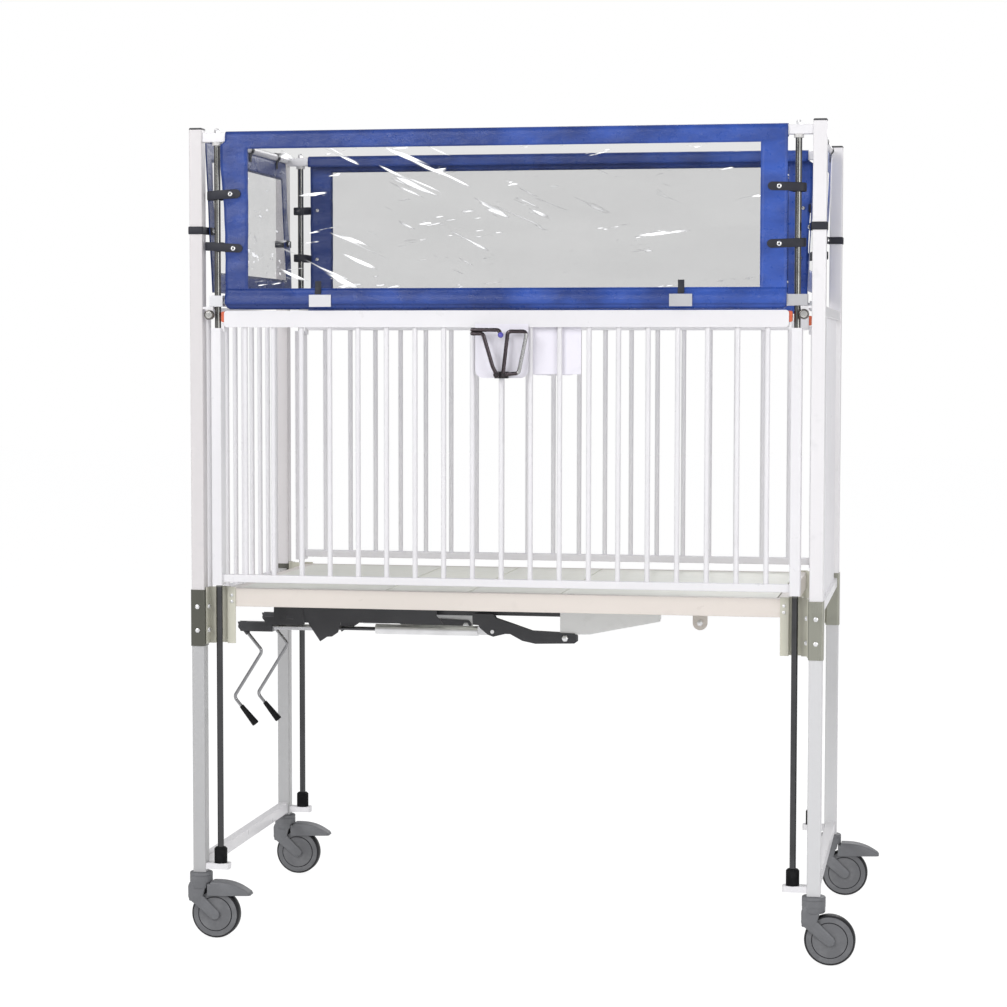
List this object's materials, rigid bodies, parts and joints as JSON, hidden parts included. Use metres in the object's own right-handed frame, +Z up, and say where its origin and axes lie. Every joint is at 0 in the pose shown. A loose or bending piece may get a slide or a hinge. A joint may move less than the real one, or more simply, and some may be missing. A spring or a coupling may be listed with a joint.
{
  "type": "pediatric hospital crib",
  "caption": "High hospital crib with drop sides, see-through vinyl upper enclosure, articulated deck raised by hand cranks, and castors.",
  "frame": {"origin": "on the floor, under the middle of the outer box", "axes": "+X along the length, +Y to the far side, +Z up"},
  "size_m": [1.7205, 0.9124, 2.056],
  "materials": {
    "white_paint": "satin",
    "dark_plastic": "matte",
    "sleeve_steel": "brushed",
    "chrome_rod": "polished",
    "black_rubber": "matte",
    "cream_paint": "satin",
    "deck_steel": "satin",
    "dark_steel": "satin",
    "bright_steel": "satin",
    "black_plastic": "matte",
    "lever_wire": "polished",
    "orange_plastic": "gloss",
    "blue_vinyl": "satin",
    "clamp_alloy": "satin",
    "castor_plastic": "matte",
    "castor_wheel": "matte"
  },
  "bodies": {
    "frame": {"corner_posts": "white_paint", "post_caps": "dark_plastic", "post_sleeves": "sleeve_steel", "frame_rails": "white_paint", "end_panel_spindles": "white_paint", "rod_brackets": "white_paint", "guide_rods": "chrome_rod", "rod_bumpers": "black_rubber", "deck_corner_brackets": "cream_paint", "deck_frame_rails": "cream_paint", "seat_pan": "deck_steel", "screw_hangers": "dark_steel", "crank_housings": "dark_steel", "end_vinyl_panels": "blue_vinyl", "front_vinyl_panel": "blue_vinyl", "back_vinyl_panel": "blue_vinyl"},
    "backrest": {"backrest_pan": "deck_steel"},
    "thigh_section": {"thigh_pan": "deck_steel"},
    "foot_section": {"foot_pan": "deck_steel"},
    "front_shaft": {"front_screw_shaft": "bright_steel"},
    "rear_shaft": {"rear_screw_shaft": "bright_steel"},
    "backrest_tube": {"backrest_screw_tube": "bright_steel"},
    "thigh_tube": {"thigh_screw_tube": "bright_steel"},
    "backrest_link_body": {"backrest_link": "dark_steel"},
    "thigh_link_body": {"thigh_link": "dark_steel"},
    "front_side": {"front_side_frame": "white_paint", "front_side_spindles": "white_paint", "front_side_plates": "white_paint"},
    "front_lever_left": {"front_latch_lever_left": "lever_wire"},
    "front_lever_right": {"front_latch_lever_right": "lever_wire"},
    "front_pin_left": {"front_plunger_left": "orange_plastic"},
    "front_pin_right": {"front_plunger_right": "orange_plastic"},
    "front_enclosure": {"front_enclosure_bar": "blue_vinyl", "front_enclosure_clamps": "clamp_alloy"},
    "back_side": {"back_side_frame": "white_paint", "back_side_spindles": "white_paint", "back_side_plates": "white_paint"},
    "back_lever_left": {"back_latch_lever_left": "lever_wire"},
    "back_lever_right": {"back_latch_lever_right": "lever_wire"},
    "back_pin_left": {"back_plunger_left": "orange_plastic"},
    "back_pin_right": {"back_plunger_right": "orange_plastic"},
    "back_enclosure": {"back_enclosure_bar": "blue_vinyl", "back_enclosure_clamps": "clamp_alloy"},
    "front_head": {"front_crank_head": "dark_steel"},
    "front_handle": {"front_crank_handle": "bright_steel"},
    "front_grip": {"front_crank_grip": "black_plastic"},
    "rear_head": {"rear_crank_head": "dark_steel"},
    "rear_handle": {"rear_crank_handle": "bright_steel"},
    "rear_grip": {"rear_crank_grip": "black_plastic"},
    "front_left_castor": {"front_left_castor_fork": "castor_plastic"},
    "front_left_wheel": {"front_left_castor_wheel": "castor_wheel"},
    "front_left_pedal": {"front_left_castor_pedal": "castor_plastic"},
    "front_right_castor": {"front_right_castor_fork": "castor_plastic"},
    "front_right_wheel": {"front_right_castor_wheel": "castor_wheel"},
    "back_left_castor": {"back_left_castor_fork": "castor_plastic"},
    "back_left_wheel": {"back_left_castor_wheel": "castor_wheel"},
    "back_left_pedal": {"back_left_castor_pedal": "castor_plastic"},
    "back_right_castor": {"back_right_castor_fork": "castor_plastic"},
    "back_right_wheel": {"back_right_castor_wheel": "castor_wheel"},
    "back_right_pedal": {"back_right_castor_pedal": "castor_plastic"}
  },
  "joints": [
    {"name": "front_side_drop", "type": "slide", "parent": "frame", "child": "front_side", "axis": [0, 0, -1], "range_m": [0, 0.671]},
    {"name": "front_latch_squeeze", "type": "hinge", "parent": "front_side", "child": "front_lever_left", "pos_m": [-0.06107, -0.447, 1.44], "axis": [0, 1, 0], "range_deg": [0, 8], "stiffness_Nm_per_rad": 1},
    {"name": "front_latch_answer", "type": "hinge", "parent": "front_side", "child": "front_lever_right", "pos_m": [-0.04507, -0.436, 1.44], "axis": [0, -1, 0], "range_deg": [0, 8]},
    {"name": "front_plunger_left_slide", "type": "slide", "parent": "front_side", "child": "front_pin_left", "axis": [1, 0, 0], "range_m": [0, 0.012]},
    {"name": "front_plunger_right_slide", "type": "slide", "parent": "front_side", "child": "front_pin_right", "axis": [-1, 0, 0], "range_m": [0, 0.012]},
    {"name": "front_enclosure_raise", "type": "slide", "parent": "frame", "child": "front_enclosure", "axis": [0, 0, 1], "range_m": [0, 0.26], "deforming": ["front_vinyl_panel"]},
    {"name": "back_side_drop", "type": "slide", "parent": "frame", "child": "back_side", "axis": [0, 0, -1], "range_m": [0, 0.671]},
    {"name": "back_latch_squeeze", "type": "hinge", "parent": "back_side", "child": "back_lever_left", "pos_m": [-0.05307, 0.447, 1.44], "axis": [0, -1, 0], "range_deg": [0, 8], "stiffness_Nm_per_rad": 1},
    {"name": "back_latch_answer", "type": "hinge", "parent": "back_side", "child": "back_lever_right", "pos_m": [-0.06907, 0.436, 1.44], "axis": [0, 1, 0], "range_deg": [0, 8]},
    {"name": "back_plunger_left_slide", "type": "slide", "parent": "back_side", "child": "back_pin_left", "axis": [-1, 0, 0], "range_m": [0, 0.012]},
    {"name": "back_plunger_right_slide", "type": "slide", "parent": "back_side", "child": "back_pin_right", "axis": [1, 0, 0], "range_m": [0, 0.012]},
    {"name": "back_enclosure_raise", "type": "slide", "parent": "frame", "child": "back_enclosure", "axis": [0, 0, 1], "range_m": [0, 0.26], "deforming": ["back_vinyl_panel"]},
    {"name": "backrest_tilt", "type": "hinge", "parent": "frame", "child": "backrest", "pos_m": [0.08793, 0, 0.892], "axis": [0, -1, 0], "range_deg": [0, 50]},
    {"name": "backrest_tube_slide", "type": "slide", "parent": "frame", "child": "backrest_tube", "axis": [1, 0, 0], "range_m": [0, 0.116]},
    {"name": "backrest_link_swing", "type": "hinge", "parent": "backrest_tube", "child": "backrest_link_body", "pos_m": [-0.13107, -0.116, 0.769], "axis": [0, -1, 0], "range_deg": [0, 6]},
    {"name": "knee_raise", "type": "hinge", "parent": "frame", "child": "thigh_section", "pos_m": [-0.14708, 0, 0.892], "axis": [0, 1, 0], "range_deg": [0, 25]},
    {"name": "foot_section_fold", "type": "hinge", "parent": "thigh_section", "child": "foot_section", "pos_m": [-0.36007, 0, 0.892], "axis": [0, -1, 0], "range_deg": [0, 40]},
    {"name": "thigh_tube_slide", "type": "slide", "parent": "frame", "child": "thigh_tube", "axis": [-1, 0, 0], "range_m": [0, 0.046]},
    {"name": "thigh_link_swing", "type": "hinge", "parent": "thigh_tube", "child": "thigh_link_body", "pos_m": [-0.42207, 0.116, 0.769], "axis": [0, -1, 0], "range_deg": [0, 18]},
    {"name": "front_shaft_turn", "type": "hinge", "parent": "frame", "child": "front_shaft", "pos_m": [-0.75708, -0.116, 0.769], "axis": [-1, 0, 0], "continuous": true},
    {"name": "front_crank_fold", "type": "hinge", "parent": "frame", "child": "front_head", "pos_m": [-0.80907, -0.116, 0.769], "axis": [0, 1, 0], "range_deg": [0, 130]},
    {"name": "front_crank_turn", "type": "hinge", "parent": "front_head", "child": "front_handle", "pos_m": [-0.80907, -0.116, 0.769], "axis": [0.6428, 0, -0.766], "continuous": true},
    {"name": "front_grip_spin", "type": "hinge", "parent": "front_handle", "child": "front_grip", "pos_m": [-0.83208, -0.116, 0.579], "axis": [0.6428, 0, -0.766], "continuous": true},
    {"name": "rear_shaft_turn", "type": "hinge", "parent": "frame", "child": "rear_shaft", "pos_m": [-0.75708, 0.116, 0.769], "axis": [-1, 0, 0], "continuous": true},
    {"name": "rear_crank_fold", "type": "hinge", "parent": "frame", "child": "rear_head", "pos_m": [-0.80907, 0.116, 0.769], "axis": [0, 1, 0], "range_deg": [0, 130]},
    {"name": "rear_crank_turn", "type": "hinge", "parent": "rear_head", "child": "rear_handle", "pos_m": [-0.80907, 0.116, 0.769], "axis": [0.6428, 0, -0.766], "continuous": true},
    {"name": "rear_grip_spin", "type": "hinge", "parent": "rear_handle", "child": "rear_grip", "pos_m": [-0.83408, 0.116, 0.557], "axis": [0.6428, 0, -0.766], "continuous": true},
    {"name": "front_left_swivel", "type": "hinge", "parent": "frame", "child": "front_left_castor", "pos_m": [-0.83608, -0.402, 0.1], "axis": [0, 0, 1], "continuous": true},
    {"name": "front_left_roll", "type": "hinge", "parent": "front_left_castor", "child": "front_left_wheel", "pos_m": [-0.79607, -0.402, 0.0625], "axis": [0, 1, 0], "continuous": true},
    {"name": "front_left_brake", "type": "hinge", "parent": "front_left_castor", "child": "front_left_pedal", "pos_m": [-0.80907, -0.402, 0.143], "axis": [0, 1, 0], "range_deg": [0, 12]},
    {"name": "front_right_swivel", "type": "hinge", "parent": "frame", "child": "front_right_castor", "pos_m": [0.72193, -0.402, 0.1], "axis": [0, 0, 1], "continuous": true},
    {"name": "front_right_roll", "type": "hinge", "parent": "front_right_castor", "child": "front_right_wheel", "pos_m": [0.76192, -0.402, 0.0625], "axis": [0, 1, 0], "continuous": true},
    {"name": "back_left_swivel", "type": "hinge", "parent": "frame", "child": "back_left_castor", "pos_m": [-0.83608, 0.402, 0.1], "axis": [0, 0, 1], "continuous": true},
    {"name": "back_left_roll", "type": "hinge", "parent": "back_left_castor", "child": "back_left_wheel", "pos_m": [-0.79607, 0.402, 0.0625], "axis": [0, 1, 0], "continuous": true},
    {"name": "back_left_brake", "type": "hinge", "parent": "back_left_castor", "child": "back_left_pedal", "pos_m": [-0.80907, 0.402, 0.143], "axis": [0, 1, 0], "range_deg": [0, 12]},
    {"name": "back_right_swivel", "type": "hinge", "parent": "frame", "child": "back_right_castor", "pos_m": [0.72193, 0.402, 0.1], "axis": [0, 0, 1], "continuous": true},
    {"name": "back_right_roll", "type": "hinge", "parent": "back_right_castor", "child": "back_right_wheel", "pos_m": [0.76192, 0.402, 0.0625], "axis": [0, 1, 0], "continuous": true},
    {"name": "back_right_brake", "type": "hinge", "parent": "back_right_castor", "child": "back_right_pedal", "pos_m": [0.74892, 0.402, 0.143], "axis": [0, 1, 0], "range_deg": [0, 12]}
  ],
  "couplings": [
    {"joint": "front_latch_answer", "follows": "front_latch_squeeze", "ratio": 1},
    {"joint": "front_plunger_left_slide", "follows": "front_latch_squeeze", "m_per_rad": 0.085943},
    {"joint": "front_plunger_right_slide", "follows": "front_latch_squeeze", "m_per_rad": 0.085943},
    {"joint": "back_latch_answer", "follows": "back_latch_squeeze", "ratio": 1},
    {"joint": "back_plunger_left_slide", "follows": "back_latch_squeeze", "m_per_rad": 0.085943},
    {"joint": "back_plunger_right_slide", "follows": "back_latch_squeeze", "m_per_rad": 0.085943},
    {"joint": "backrest_tube_slide", "follows": "backrest_tilt", "m_per_rad": 0.1314},
    {"joint": "backrest_link_swing", "follows": "backrest_tilt", "ratio": 0.11428},
    {"joint": "foot_section_fold", "follows": "knee_raise", "ratio": 1.53},
    {"joint": "thigh_tube_slide", "follows": "knee_raise", "m_per_rad": 0.10264},
    {"joint": "thigh_link_swing", "follows": "knee_raise", "ratio": 0.68745},
    {"joint": "front_shaft_turn", "follows": "backrest_tilt", "ratio": 72},
    {"joint": "front_crank_turn", "follows": "backrest_tilt", "ratio": 72},
    {"joint": "rear_shaft_turn", "follows": "knee_raise", "ratio": 57.6},
    {"joint": "rear_crank_turn", "follows": "knee_raise", "ratio": 57.6}
  ]
}
